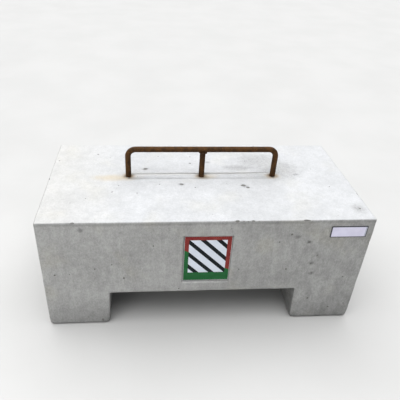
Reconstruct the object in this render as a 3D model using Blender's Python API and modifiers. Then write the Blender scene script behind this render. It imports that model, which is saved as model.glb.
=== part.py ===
"""Precast concrete barrier block with a fork slot and a cast-in lifting handle.

The block stands on two feet. A steel handle is cast into its top, a reinforcement cage lies inside,
and a small plate and a label are stuck to its front.

Frame: metres, +Z up. X runs along the block and Y from its front (-Y) to its back (+Y). The origin
is on the ground under the middle of the block.
"""

import math
from dataclasses import dataclass

import bmesh
import bpy
from mathutils import Matrix, Vector

# ---------------------------------------------------------------------------------------------
# Driving dimensions, in metres
# ---------------------------------------------------------------------------------------------

# Concrete
LENGTH = 1.000
DEPTH = 0.500
HEIGHT = 0.410
ARRIS_RADIUS = 0.004
SLOT_WIDTH = 0.610  # at the ground
SLOT_HEIGHT = 0.136
SLOT_CENTRE_X = -0.002
SLOT_DRAFT = 0.05  # how far each side of the slot leans in, for each metre of height
SLOT_FILLET = 0.006  # between its sides and its roof
COVER = 0.035  # concrete between the cage and the outside

# Lifting handle
HANDLE_BAR_RADIUS = 0.0095
HANDLE_SPAN = 0.487  # between the centre lines of the two legs
HANDLE_RISE = 0.098  # from the top of the block to the bar's centre line
HANDLE_X = 0.002
HANDLE_Y = 0.015
HANDLE_BEND_RADIUS = 0.025
HOOK_BEND_RADIUS = 0.030
HOOK_LENGTH = 0.100
WELD_RADIUS = 0.0034

# Batten imprint on the top, between the handle's legs
IMPRINT_WIDTH = 0.040
IMPRINT_DEPTH = 0.001

# Reinforcement cage
MAIN_BAR_RADIUS = 0.006
LINK_BAR_RADIUS = 0.004
LINK_BEND_RADIUS = 0.020
MIDDLE_BAR_Y = 0.067
LINK_STATIONS = (-0.415, -0.315, -0.175, -0.075, 0.075, 0.175, 0.315, 0.415)
HAIRPIN_OUTER_X = 0.450
HAIRPIN_INNER_X = 0.348
HAIRPIN_TOP_Z = 0.330
FOOT_TIE_INSET = 0.028  # from the hairpin's legs
REAR_ANCHOR_LENGTH = 0.600
FRONT_ANCHOR_LENGTH = 0.300
ANCHOR_INSET = 0.012  # from the end of the hook's bend

# Cover spacers
SPACER_FOOT_RADIUS = 0.018
SPACER_HEAD_RADIUS = 0.010
SPACER_RECESS = 0.0005
DECK_SPACER_X = 0.175
DECK_SPACER_Y = 0.130

# Front plate and its recess
RECESS_WIDTH = 0.148
RECESS_HEIGHT = 0.181
RECESS_DEPTH = 0.005
RECESS_CENTRE_Z = 0.267
PLATE_WIDTH = 0.143
PLATE_HEIGHT = 0.172
PLATE_CENTRE_Z = 0.2695
PLATE_THICKNESS = 0.0015
PLATE_CORNER = 0.003
FILM_MARGIN = 0.001
FILM_THICKNESS = 0.0003
PAD_MARGIN = 0.012
PAD_THICKNESS = 0.001

# Blank label at the upper right of the front
LABEL_WIDTH = 0.112
LABEL_HEIGHT = 0.040
LABEL_X = 0.422
LABEL_Z = 0.367
LABEL_RIM = 0.003
LABEL_THICKNESS = 0.0008
LABEL_CORNER = 0.001

# Clearances
TOUCH_GAP = 0.0003  # between two pieces that touch
POCKET_GAP = 0.0004  # between an embedded piece and the concrete around it

# Facets
HANDLE_SIDES = 12
REBAR_SIDES = 8
LINK_TURN = math.radians(7)  # turns the links' facets, so that they don't meet a main bar edge on edge
SPACER_SIDES = 12
BEND_STEPS = 4
ARRIS_SEGMENTS = 2
WELD_RING_STEPS = 20
WELD_SECTION_STEPS = 8

# Levels and places that follow from the above
FRONT_Y = -DEPTH / 2
HANDLE_BAR_Z = HEIGHT + HANDLE_RISE
LINK_Y = DEPTH / 2 - COVER - LINK_BAR_RADIUS
LINK_TOP_Z = HEIGHT - COVER - LINK_BAR_RADIUS
LINK_BOTTOM_Z = SLOT_HEIGHT + COVER + LINK_BAR_RADIUS
TOUCHING_LINK = LINK_BAR_RADIUS + TOUCH_GAP + MAIN_BAR_RADIUS
# A corner bar lies in the round of the link's bend, on its diagonal.
CORNER_BAR_INSET = LINK_BEND_RADIUS - (LINK_BEND_RADIUS - TOUCHING_LINK - TOUCH_GAP) / math.sqrt(2)
CORNER_BAR_Y = LINK_Y - CORNER_BAR_INSET
HOOK_Z = LINK_BOTTOM_Z + TOUCHING_LINK + MAIN_BAR_RADIUS + TOUCH_GAP + HANDLE_BAR_RADIUS
ANCHOR_Z = HOOK_Z + HANDLE_BAR_RADIUS + TOUCH_GAP + MAIN_BAR_RADIUS
ANCHOR_REACH = HOOK_BEND_RADIUS + ANCHOR_INSET
MAIN_BAR_LENGTH = LENGTH - 2 * COVER
HAIRPIN_Y = CORNER_BAR_Y - TOUCHING_LINK
HAIRPIN_Z = COVER + LINK_BAR_RADIUS
FOOT_TIE_Z = HAIRPIN_Z + 2 * LINK_BAR_RADIUS + TOUCH_GAP


# ---------------------------------------------------------------------------------------------
# Scene, collections and materials
# ---------------------------------------------------------------------------------------------

for old in list(bpy.data.objects):
    bpy.data.objects.remove(old, do_unlink=True)


def new_collection(name):
    collection = bpy.data.collections.new(name)
    bpy.context.scene.collection.children.link(collection)
    return collection


PARTS = new_collection("concrete_barrier_block")
CUTTERS = new_collection("cutters")


def new_material(name, colour, roughness, metallic=0.0):
    material = bpy.data.materials.new(name)
    material.use_nodes = True
    shader = material.node_tree.nodes["Principled BSDF"]
    shader.inputs["Base Color"].default_value = (*colour, 1.0)
    shader.inputs["Roughness"].default_value = roughness
    shader.inputs["Metallic"].default_value = metallic
    return material


CONCRETE = new_material("concrete", (0.53, 0.53, 0.51), 0.85)
RUSTY_STEEL = new_material("rusty_steel", (0.085, 0.045, 0.022), 0.75, 0.4)
WELD_METAL = new_material("weld_metal", (0.10, 0.055, 0.03), 0.7, 0.5)
REBAR = new_material("rebar", (0.16, 0.09, 0.06), 0.7, 0.6)
FIBRE_CEMENT = new_material("fibre_cement", (0.42, 0.41, 0.39), 0.9)
PLATE_METAL = new_material("plate_metal", (0.72, 0.73, 0.74), 0.35, 0.9)
PRINTED_FILM = new_material("printed_film", (0.80, 0.81, 0.84), 0.35)
FOAM_TAPE = new_material("foam_tape", (0.08, 0.08, 0.09), 0.8)
LABEL_WHITE = new_material("label_white", (0.62, 0.60, 0.72), 0.4)


# ---------------------------------------------------------------------------------------------
# Shapes
# ---------------------------------------------------------------------------------------------


def add_object(name, data, material):
    """Put a node in the parts collection with its own material."""
    data.materials.append(material)
    node = bpy.data.objects.new(name, data)
    PARTS.objects.link(node)
    return node


def add_cutter(name, mesh):
    cutter = bpy.data.objects.new(name, mesh)
    cutter.hide_render = True
    cutter.display_type = "WIRE"
    CUTTERS.objects.link(cutter)
    return cutter


def cut(target, cutter):
    """Cut the shape of one cutter out of a node."""
    boolean = target.modifiers.new(cutter.name, "BOOLEAN")
    boolean.operation = "DIFFERENCE"
    boolean.solver = "EXACT"
    boolean.object = cutter


def box_mesh(name, size, centre):
    mesh = bpy.data.meshes.new(name)
    shape = bmesh.new()
    bmesh.ops.create_cube(shape, size=1.0)
    bmesh.ops.scale(shape, vec=size, verts=shape.verts)
    bmesh.ops.translate(shape, vec=centre, verts=shape.verts)
    shape.to_mesh(mesh)
    shape.free()
    return mesh


def bevel_edges(shape, edges, radius):
    bmesh.ops.bevel(shape, geom=edges, offset=radius, segments=BEND_STEPS, profile=0.5, affect="EDGES")


def rounded_path(corners, radii, closed=False):
    """The corner points of a bent bar, with each corner turned into an arc of its own radius."""
    count = len(corners)
    path = []
    for index, (corner, radius) in enumerate(zip(corners, radii)):
        corner = Vector(corner)
        if not closed and index in (0, count - 1):
            path.append(corner)
            continue
        before = (Vector(corners[index - 1]) - corner).normalized()
        after = (Vector(corners[(index + 1) % count]) - corner).normalized()
        half_angle = before.angle(after) / 2
        centre = corner + (before + after).normalized() * radius / math.sin(half_angle)
        start = corner + before * radius / math.tan(half_angle) - centre
        sweep = Matrix.Rotation((math.pi - 2 * half_angle) / BEND_STEPS, 3, after.cross(before))
        for step in range(BEND_STEPS + 1):
            path.append(centre + start)
            start = sweep @ start
    return path


@dataclass
class Bar:
    """A round bar along a path. turn rotates its facets about the path."""

    name: str
    path: list
    radius: float
    sides: int = REBAR_SIDES
    closed: bool = False
    turn: float = 0.0


def bar_curve(bar, extra=0.0):
    """The bar as a curve with filled ends, extra metres bigger all round."""
    path = [Vector(point) for point in bar.path]
    if not bar.closed:
        path[0] += (path[0] - path[1]).normalized() * extra
        path[-1] += (path[-1] - path[-2]).normalized() * extra
    curve = bpy.data.curves.new(bar.name, "CURVE")
    curve.dimensions = "3D"
    curve.bevel_depth = bar.radius + extra
    curve.bevel_resolution = (bar.sides - 4) // 2
    curve.use_fill_caps = True
    spline = curve.splines.new("POLY")
    spline.points.add(len(path) - 1)
    for point, place in zip(spline.points, path):
        point.co = (*place, 1.0)
        point.tilt = bar.turn
    spline.use_cyclic_u = bar.closed
    return curve


def bar_mesh(bar, extra=0.0):
    """The same bar as a closed mesh, for a piece that is cut or that cuts."""
    guide = bpy.data.objects.new(bar.name, bar_curve(bar, extra))
    bpy.context.scene.collection.objects.link(guide)
    bpy.context.view_layer.update()
    graph = bpy.context.evaluated_depsgraph_get()
    mesh = bpy.data.meshes.new_from_object(guide.evaluated_get(graph))
    mesh.name = bar.name
    shape = bmesh.new()
    shape.from_mesh(mesh)
    bmesh.ops.remove_doubles(shape, verts=shape.verts, dist=1e-6)
    shape.to_mesh(mesh)
    shape.free()
    bpy.data.objects.remove(guide, do_unlink=True)
    return mesh


POCKETS = []


def add_pocket(name, mesh):
    """The space that an embedded piece takes in the concrete."""
    pocket = add_cutter(name + "_pocket", mesh)
    POCKETS.append(pocket)
    return pocket


def embedded_bar(bar):
    """A reinforcement bar as a node. Returns its pocket."""
    add_object(bar.name, bar_curve(bar), REBAR)
    return add_pocket(bar.name, bar_mesh(bar, POCKET_GAP))


def shade_round(mesh, angle=math.radians(40)):
    mesh.shade_smooth()
    mesh.set_sharp_from_angle(angle=angle)


# ---------------------------------------------------------------------------------------------
# Lifting handle
# ---------------------------------------------------------------------------------------------


def handle_path():
    """Hook, leg, grip, leg, hook. Both hooks point to the back."""
    left = HANDLE_X - HANDLE_SPAN / 2
    right = HANDLE_X + HANDLE_SPAN / 2
    hook_end = HANDLE_Y + HOOK_LENGTH
    corners = [
        (left, hook_end, HOOK_Z),
        (left, HANDLE_Y, HOOK_Z),
        (left, HANDLE_Y, HANDLE_BAR_Z),
        (right, HANDLE_Y, HANDLE_BAR_Z),
        (right, HANDLE_Y, HOOK_Z),
        (right, hook_end, HOOK_Z),
    ]
    radii = [0, HOOK_BEND_RADIUS, HANDLE_BEND_RADIUS, HANDLE_BEND_RADIUS, HOOK_BEND_RADIUS, 0]
    return rounded_path(corners, radii)


def centre_post_path():
    """Hook and leg, up to the grip's centre line. Its hook points to the front."""
    corners = [
        (HANDLE_X, HANDLE_Y - HOOK_LENGTH, HOOK_Z),
        (HANDLE_X, HANDLE_Y, HOOK_Z),
        (HANDLE_X, HANDLE_Y, HANDLE_BAR_Z),
    ]
    return rounded_path(corners, [0, HOOK_BEND_RADIUS, 0])


def weld_mesh(name):
    """A ring of weld around the top of the centre post."""
    major_radius = HANDLE_BAR_RADIUS + TOUCH_GAP + WELD_RADIUS / 2
    mesh = bpy.data.meshes.new(name)
    shape = bmesh.new()
    section = bmesh.ops.create_circle(shape, segments=WELD_SECTION_STEPS, radius=WELD_RADIUS)["verts"]
    bmesh.ops.rotate(shape, verts=section, matrix=Matrix.Rotation(math.pi / 2, 3, "X"))
    bmesh.ops.translate(shape, verts=section, vec=(major_radius, 0, 0))
    bmesh.ops.spin(
        shape,
        geom=list(shape.verts) + list(shape.edges),
        cent=(0, 0, 0),
        axis=(0, 0, 1),
        angle=math.tau,
        steps=WELD_RING_STEPS,
        use_merge=True,
    )
    bmesh.ops.recalc_face_normals(shape, faces=shape.faces)
    centre = (HANDLE_X, HANDLE_Y, HANDLE_BAR_Z - HANDLE_BAR_RADIUS)
    bmesh.ops.translate(shape, verts=shape.verts, vec=centre)
    shape.to_mesh(mesh)
    shape.free()
    return mesh


def make_handle():
    grip = Bar("lifting_handle", handle_path(), HANDLE_BAR_RADIUS, HANDLE_SIDES)
    post = Bar("handle_centre_post", centre_post_path(), HANDLE_BAR_RADIUS, HANDLE_SIDES)
    grip_pocket = add_pocket(grip.name, bar_mesh(grip, POCKET_GAP))
    post_pocket = add_pocket(post.name, bar_mesh(post, POCKET_GAP))

    add_object(grip.name, bar_curve(grip), RUSTY_STEEL)

    post_shape = bar_mesh(post)
    shade_round(post_shape)
    cut(add_object(post.name, post_shape, RUSTY_STEEL), grip_pocket)

    weld = add_object("centre_post_weld", weld_mesh("centre_post_weld"), WELD_METAL)
    cut(weld, grip_pocket)
    cut(weld, post_pocket)


def make_handle_anchors():
    """Straight bars in the crooks of the hooks. They bear on the concrete when the block is lifted."""
    for name, length, y in (
        ("handle_anchor_rear", REAR_ANCHOR_LENGTH, HANDLE_Y + ANCHOR_REACH),
        ("handle_anchor_front", FRONT_ANCHOR_LENGTH, HANDLE_Y - ANCHOR_REACH),
    ):
        ends = [(HANDLE_X + side * length / 2, y, ANCHOR_Z) for side in (-1, 1)]
        embedded_bar(Bar(name, ends, MAIN_BAR_RADIUS))


# ---------------------------------------------------------------------------------------------
# Reinforcement cage
# ---------------------------------------------------------------------------------------------


def make_main_bars():
    """Four bars along the top and four over the slot. The outer two lie in the links' bends."""
    for level, z, inward in (("top", LINK_TOP_Z, -1), ("bottom", LINK_BOTTOM_Z, 1)):
        places = (
            (-CORNER_BAR_Y, z + inward * CORNER_BAR_INSET),
            (-MIDDLE_BAR_Y, z + inward * TOUCHING_LINK),
            (MIDDLE_BAR_Y, z + inward * TOUCHING_LINK),
            (CORNER_BAR_Y, z + inward * CORNER_BAR_INSET),
        )
        for number, (y, bar_z) in enumerate(places, start=1):
            ends = [(side * MAIN_BAR_LENGTH / 2, y, bar_z) for side in (-1, 1)]
            embedded_bar(Bar(f"{level}_bar_{number}", ends, MAIN_BAR_RADIUS))


def make_links():
    """Closed rectangular links around the main bars. Returns the pocket of each, by its station."""
    pockets = {}
    for number, x in enumerate(LINK_STATIONS, start=1):
        corners = [
            (x, -LINK_Y, LINK_BOTTOM_Z),
            (x, LINK_Y, LINK_BOTTOM_Z),
            (x, LINK_Y, LINK_TOP_Z),
            (x, -LINK_Y, LINK_TOP_Z),
        ]
        path = rounded_path(corners, [LINK_BEND_RADIUS] * 4, closed=True)
        link = Bar(f"stirrup_{number}", path, LINK_BAR_RADIUS, closed=True, turn=LINK_TURN)
        pockets[x] = embedded_bar(link)
    return pockets


def make_foot_cage():
    """Two U-shaped hairpins in each foot, and two tie bars on them. Returns the hairpins' pockets."""
    pockets = {}
    number = 0
    for side in (-1, 1):
        for y in (-HAIRPIN_Y, HAIRPIN_Y):
            number += 1
            corners = [
                (side * HAIRPIN_OUTER_X, y, HAIRPIN_TOP_Z),
                (side * HAIRPIN_OUTER_X, y, HAIRPIN_Z),
                (side * HAIRPIN_INNER_X, y, HAIRPIN_Z),
                (side * HAIRPIN_INNER_X, y, HAIRPIN_TOP_Z),
            ]
            path = rounded_path(corners, [0, LINK_BEND_RADIUS, LINK_BEND_RADIUS, 0])
            hairpin = Bar(f"foot_hairpin_{number}", path, LINK_BAR_RADIUS, turn=LINK_TURN)
            pockets[side, y] = embedded_bar(hairpin)
    number = 0
    for side in (-1, 1):
        for x in (HAIRPIN_INNER_X + FOOT_TIE_INSET, HAIRPIN_OUTER_X - FOOT_TIE_INSET):
            number += 1
            ends = [(side * x, end * LINK_Y, FOOT_TIE_Z) for end in (-1, 1)]
            embedded_bar(Bar(f"foot_tie_{number}", ends, LINK_BAR_RADIUS))
    return pockets


def cone_mesh(name, foot_radius, head_radius, bottom, top, centre):
    mesh = bpy.data.meshes.new(name)
    shape = bmesh.new()
    bmesh.ops.create_cone(
        shape,
        cap_ends=True,
        segments=SPACER_SIDES,
        radius1=foot_radius,
        radius2=head_radius,
        depth=top - bottom,
    )
    bmesh.ops.translate(shape, verts=shape.verts, vec=(*centre, (top + bottom) / 2))
    shape.to_mesh(mesh)
    shape.free()
    return mesh


def make_spacer(name, x, y, surface_z, bar_z, seat):
    """A cone that holds a bar off the mould. The bar lies in a groove across its head."""
    shape = cone_mesh(
        name, SPACER_FOOT_RADIUS, SPACER_HEAD_RADIUS, surface_z + SPACER_RECESS, bar_z, (x, y)
    )
    cut(add_object(name, shape, FIBRE_CEMENT), seat)
    space = cone_mesh(
        name + "_pocket",
        SPACER_FOOT_RADIUS + POCKET_GAP,
        SPACER_HEAD_RADIUS + POCKET_GAP,
        surface_z - SPACER_RECESS,
        bar_z + POCKET_GAP,
        (x, y),
    )
    add_pocket(name, space)


def make_spacers(link_pockets, hairpin_pockets):
    number = 0
    for x in (-DECK_SPACER_X, DECK_SPACER_X):
        for y in (-DECK_SPACER_Y, DECK_SPACER_Y):
            number += 1
            make_spacer(f"deck_spacer_{number}", x, y, SLOT_HEIGHT, LINK_BOTTOM_Z, link_pockets[x])
    middle = (HAIRPIN_OUTER_X + HAIRPIN_INNER_X) / 2
    for number, (side, y) in enumerate(hairpin_pockets, start=1):
        make_spacer(f"foot_spacer_{number}", side * middle, y, 0.0, HAIRPIN_Z, hairpin_pockets[side, y])


# ---------------------------------------------------------------------------------------------
# Concrete
# ---------------------------------------------------------------------------------------------


def slot_mesh():
    """The space between the feet. Its two sides lean in towards its roof."""
    below = 0.02
    mesh = box_mesh(
        "fork_slot",
        (SLOT_WIDTH, DEPTH * 1.2, SLOT_HEIGHT + below),
        (SLOT_CENTRE_X, 0, (SLOT_HEIGHT - below) / 2),
    )
    for vertex in mesh.vertices:
        lean = SLOT_DRAFT * vertex.co.z
        vertex.co.x -= math.copysign(lean, vertex.co.x - SLOT_CENTRE_X)
    shape = bmesh.new()
    shape.from_mesh(mesh)
    roof = [e for e in shape.edges if min(v.co.z for v in e.verts) > 0]
    corners = [e for e in roof if abs(e.verts[0].co.y - e.verts[1].co.y) > DEPTH]
    bevel_edges(shape, corners, SLOT_FILLET)
    shape.to_mesh(mesh)
    shape.free()
    return mesh


def make_block():
    shape = box_mesh("concrete_block", (LENGTH, DEPTH, HEIGHT), (0, 0, HEIGHT / 2))
    block = add_object("concrete_block", shape, CONCRETE)
    cut(block, add_cutter("fork_slot", slot_mesh()))

    arrises = block.modifiers.new("arrises", "BEVEL")
    arrises.width = ARRIS_RADIUS
    arrises.segments = ARRIS_SEGMENTS
    arrises.limit_method = "ANGLE"
    arrises.angle_limit = math.radians(30)

    imprint = box_mesh(
        "batten_imprint",
        (HANDLE_SPAN, IMPRINT_WIDTH, 2 * IMPRINT_DEPTH),
        (HANDLE_X, HANDLE_Y, HEIGHT),
    )
    recess = box_mesh(
        "plate_recess",
        (RECESS_WIDTH, 2 * RECESS_DEPTH, RECESS_HEIGHT),
        (0, FRONT_Y, RECESS_CENTRE_Z),
    )
    for cutter in (add_cutter("batten_imprint", imprint), add_cutter("plate_recess", recess), *POCKETS):
        cut(block, cutter)


# ---------------------------------------------------------------------------------------------
# Front plate and label
# ---------------------------------------------------------------------------------------------


def front_sheet(name, width, height, thickness, x, z, back_y, material, corner=0.0):
    """A thin upright rectangle whose back is at back_y. Returns the depth of its front."""
    mesh = box_mesh(name, (width, thickness, height), (x, back_y - thickness / 2, z))
    if corner:
        shape = bmesh.new()
        shape.from_mesh(mesh)
        through = [e for e in shape.edges if abs(e.verts[0].co.y - e.verts[1].co.y) > thickness / 2]
        bevel_edges(shape, through, corner)
        shape.to_mesh(mesh)
        shape.free()
    add_object(name, mesh, material)
    return back_y - thickness


def make_front_plate():
    pad_back = FRONT_Y + RECESS_DEPTH - TOUCH_GAP
    pad_front = front_sheet(
        "emblem_adhesive",
        PLATE_WIDTH - 2 * PAD_MARGIN,
        PLATE_HEIGHT - 2 * PAD_MARGIN,
        PAD_THICKNESS,
        0,
        PLATE_CENTRE_Z,
        pad_back,
        FOAM_TAPE,
    )
    plate_front = front_sheet(
        "emblem_plate",
        PLATE_WIDTH,
        PLATE_HEIGHT,
        PLATE_THICKNESS,
        0,
        PLATE_CENTRE_Z,
        pad_front - TOUCH_GAP,
        PLATE_METAL,
        PLATE_CORNER,
    )
    front_sheet(
        "emblem_film",
        PLATE_WIDTH - 2 * FILM_MARGIN,
        PLATE_HEIGHT - 2 * FILM_MARGIN,
        FILM_THICKNESS,
        0,
        PLATE_CENTRE_Z,
        plate_front - TOUCH_GAP,
        PRINTED_FILM,
        PLATE_CORNER - FILM_MARGIN,
    )


def make_label():
    backing_front = front_sheet(
        "label_backing",
        LABEL_WIDTH,
        LABEL_HEIGHT,
        LABEL_THICKNESS,
        LABEL_X,
        LABEL_Z,
        FRONT_Y - TOUCH_GAP,
        FOAM_TAPE,
        LABEL_CORNER,
    )
    front_sheet(
        "label_face",
        LABEL_WIDTH - 2 * LABEL_RIM,
        LABEL_HEIGHT - 2 * LABEL_RIM,
        LABEL_THICKNESS,
        LABEL_X,
        LABEL_Z,
        backing_front - TOUCH_GAP,
        LABEL_WHITE,
        LABEL_CORNER,
    )


make_handle()
make_handle_anchors()
make_main_bars()
link_pockets = make_links()
hairpin_pockets = make_foot_cage()
make_spacers(link_pockets, hairpin_pockets)
make_block()
make_front_plate()
make_label()
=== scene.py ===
"""Looks of the precast concrete barrier block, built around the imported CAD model.

The concrete, the lifting handle, its weld and the front plate's print are modelled again in fine
detail. The other pieces are the CAD's own, with procedural materials.

Frame: metres, +Z up. X runs along the block and Y from its front (-Y) to its back (+Y).
"""

import math
import random
from contextlib import contextmanager
from dataclasses import dataclass

import bmesh
import bpy
import numpy as np
from mathutils import Matrix, Vector, noise


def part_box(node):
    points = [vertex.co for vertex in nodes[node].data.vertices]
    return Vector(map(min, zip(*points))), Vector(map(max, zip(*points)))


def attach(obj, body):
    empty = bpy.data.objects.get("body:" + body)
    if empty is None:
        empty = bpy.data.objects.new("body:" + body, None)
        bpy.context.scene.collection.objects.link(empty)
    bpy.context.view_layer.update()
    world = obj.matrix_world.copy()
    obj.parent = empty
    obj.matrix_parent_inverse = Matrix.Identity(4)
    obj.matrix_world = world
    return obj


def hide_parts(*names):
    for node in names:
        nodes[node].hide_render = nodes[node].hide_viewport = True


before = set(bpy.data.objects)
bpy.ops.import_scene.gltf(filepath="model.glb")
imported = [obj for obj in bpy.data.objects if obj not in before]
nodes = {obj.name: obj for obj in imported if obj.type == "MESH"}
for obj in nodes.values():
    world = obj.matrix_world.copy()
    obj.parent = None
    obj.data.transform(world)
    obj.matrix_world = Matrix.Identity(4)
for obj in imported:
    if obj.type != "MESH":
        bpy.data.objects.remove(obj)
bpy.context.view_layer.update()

# ---------- Sizes and places ----------

LOW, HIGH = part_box("concrete_block")
GRIP_LOW, GRIP_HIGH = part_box("lifting_handle")
POST_LOW, POST_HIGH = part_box("handle_centre_post")
PLATE_LOW, PLATE_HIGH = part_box("emblem_plate")
LABEL_LOW, LABEL_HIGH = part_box("label_backing")
FILM_LOW, FILM_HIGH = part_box("emblem_film")
LABEL_FACE_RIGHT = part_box("label_face")[1].x

BAR_RADIUS = (POST_HIGH.x - POST_LOW.x) / 2
LEFT_LEG_X = GRIP_LOW.x + BAR_RADIUS
RIGHT_LEG_X = GRIP_HIGH.x - BAR_RADIUS
POST_X = (POST_LOW.x + POST_HIGH.x) / 2
LEG_Y = GRIP_LOW.y + BAR_RADIUS
GRIP_Z = GRIP_HIGH.z - BAR_RADIUS
HOOK_Z = GRIP_LOW.z + BAR_RADIUS

# Handle: its bends are to the bars' centre lines
GRIP_BEND = 0.025
HOOK_BEND = 0.030
BEND_STEPS = 10
BAR_SIDES = 24
BAR_STEP = 0.003  # between two rings of a bar's surface
BAR_PITTING = 0.00045

# Weld bead round the top of the post
WELD_RADIUS = 0.0026
WELD_STANDOFF = 0.0012  # from the post's surface out to the bead's centre line
WELD_DROP = 0.0005  # from the grip's underside down to it
WELD_STEPS = 60
WELD_SIDES = 14
WELD_PITTING = 0.0006

TOUCH_GAP = 0.0003  # between two pieces that touch
MERGE_DISTANCE = 0.000005  # between two points of a mesh that are one

# Batten imprint between the handle's legs
IMPRINT_WIDTH = 0.040
IMPRINT_REACH = 0.004  # from its edges, where its look ends

# Concrete skin
SKIN_STEP = 0.010
ARRIS_ROWS = (0.0, 0.0008, 0.002, 0.0035, 0.0055, 0.0085, 0.0125)  # rows of the skin beside each arris
ARRIS_RADIUS = 0.0042
ARRIS_WEAR = 0.0030  # how much rounder an arris gets where it is worn
GROUND_WEAR = 0.0075  # the same at the feet's lower arrises
GROUND_WEAR_HEIGHT = 0.03
SLOT_FILLET = 0.006  # between the slot's sides and its roof
SKIN_INSET = 0.0001
WAVINESS = 0.0004

# Bug holes, which are air bubbles cast against the mould, and chips out of the arrises
HOLLOW_SEED = 7
HOLES_PER_SQUARE_METRE = 120
SMALLEST_HOLE = 0.0005
LARGEST_HOLE = 0.0024
CHIPS_PER_METRE = 3.5
SMALLEST_CHIP = 0.0032
LARGEST_CHIP = 0.0058
HOLLOW_SPACING = 2.2  # from centre to centre, over both radii
HOLLOW_BULGE = 0.22  # how uneven a hollow is, as a share of its radius
FINE_MESH_RADIUS = 0.0022  # a larger hollow gets a finer mesh
HOLE_TO_SLOT = 0.006
HOLE_TO_PLATE = (0.015, 0.020, 0.010)  # beside, below and above the plate and the label

# The larger bug holes of the front (x, z, radius) and of the top (x, y, radius)
FRONT_HOLES = (
    (0.249, 0.359, 0.0030),
    (0.307, 0.328, 0.0030),
    (0.215, 0.331, 0.0022),
    (0.343, 0.276, 0.0022),
    (0.329, 0.243, 0.0025),
    (0.339, 0.203, 0.0027),
    (0.253, 0.222, 0.0028),
    (0.102, 0.226, 0.0022),
    (0.347, 0.092, 0.0032),
    (0.425, 0.049, 0.0030),
    (0.476, 0.064, 0.0022),
    (-0.254, 0.199, 0.0030),
    (-0.340, 0.237, 0.0022),
    (-0.417, 0.219, 0.0018),
    (-0.328, 0.018, 0.0040),
)
TOP_HOLES = (
    (-0.186, 0.062, 0.0050),
    (-0.068, -0.041, 0.0042),
    (0.134, -0.050, 0.0056),
    (0.147, -0.064, 0.0044),
    (-0.029, 0.103, 0.0030),
    (-0.290, -0.085, 0.0024),
    (0.470, -0.190, 0.0030),
)
# Chips out of the top arris of the front (x, radius)
FRONT_CHIPS = ((0.080, 0.0058), (0.0985, 0.0034), (0.1115, 0.0030), (0.127, 0.0046), (0.143, 0.0030))

# Soft dark smudges on the front (x, z) and on the top (x, y)
FRONT_SMUDGES = ((0.307, 0.328), (0.331, 0.246), (0.338, 0.203), (0.268, 0.350), (-0.372, 0.385))
TOP_SMUDGES = ((0.139, -0.056), (-0.186, 0.062), (-0.068, -0.041), (0.033, 0.110), (0.330, 0.020))
FRONT_SMUDGE_REACH = (0.014, 0.020, 0.011)
TOP_SMUDGE_REACH = (0.017, 0.012)

# Stains on the top: place (x, y) and reach (x, y)
RUST_RUNS = (
    (LEFT_LEG_X - 0.045, LEG_Y - 0.012, 0.105, 0.030),
    (LEFT_LEG_X, LEG_Y, 0.034, 0.028),
    (POST_X + 0.014, LEG_Y - 0.006, 0.055, 0.026),
    (RIGHT_LEG_X, LEG_Y - 0.006, 0.036, 0.028),
)
RUST_HALOS = [(x, LEG_Y, 0.028, 0.025) for x in (LEFT_LEG_X, POST_X, RIGHT_LEG_X)]
DIRT_PATCHES = (
    (0.215, 0.125, 0.120, 0.075),
    (0.275, 0.060, 0.110, 0.100),
    (0.140, 0.070, 0.080, 0.030),
    (0.465, -0.190, 0.028, 0.035),
)
STAIN_DEPTH = 0.02

# Camera: its place in metres, its turn in radians, and its lens and sensor in millimetres
CAMERA_PLACE = (-0.18095, -1.27221, 1.15084)
CAMERA_TURN = (0.998604, -0.035551, -0.070249)
CAMERA_LENS = 39.85
CAMERA_SENSOR = 36.0
CAMERA_SHIFT = (0.0457, -0.0040)


# ---------- Meshes and objects ----------


def link(name, data):
    thing = bpy.data.objects.new(name, data)
    bpy.context.scene.collection.objects.link(thing)
    return thing


def finished_mesh(thing):
    """The object's mesh with its modifiers applied."""
    bpy.context.view_layer.update()
    graph = bpy.context.evaluated_depsgraph_get()
    return bpy.data.meshes.new_from_object(thing.evaluated_get(graph))


def boolean(thing, operation, other):
    modifier = thing.modifiers.new(other.name, "BOOLEAN")
    modifier.operation = operation
    modifier.solver = "EXACT"
    modifier.object = other


@contextmanager
def editing(mesh):
    """The mesh as a bmesh, which is written back at the end."""
    shape = bmesh.new()
    shape.from_mesh(mesh)
    yield shape
    shape.to_mesh(mesh)
    shape.free()


def weld(mesh):
    """Merge the points that lie together, and drop the faces that this leaves without area."""
    with editing(mesh) as shape:
        bmesh.ops.remove_doubles(shape, verts=shape.verts, dist=MERGE_DISTANCE)
        bmesh.ops.dissolve_degenerate(shape, dist=MERGE_DISTANCE, edges=shape.edges)


def apply_booleans(thing, *others):
    """Apply the object's modifiers, and remove the objects that cut it."""
    mesh = finished_mesh(thing)
    thing.modifiers.clear()
    weld(mesh)
    thing.data = mesh
    for other in others:
        bpy.data.objects.remove(other, do_unlink=True)


def shade_round(mesh, angle):
    mesh.shade_smooth()
    mesh.set_sharp_from_angle(angle=angle)


def welded_copy(name, node):
    """A CAD node's mesh as one closed surface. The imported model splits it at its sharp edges."""
    mesh = nodes[node].data.copy()
    weld(mesh)
    return link(name, mesh)


def unevenness(point, size):
    """Smooth noise from -1 to 1 that changes over about this size."""
    return noise.noise(Vector(point) / size)


# ---------- Materials ----------

# Colour sockets of the Mix node
COLOUR_A, COLOUR_B, COLOUR_OUT = 6, 7, 2

# Concrete: its own colour, as on the sides
CEMENT_DARK = (0.310, 0.310, 0.300)
CEMENT_LIGHT = (0.356, 0.356, 0.345)
CEMENT_WARM = (0.352, 0.342, 0.300)
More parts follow.
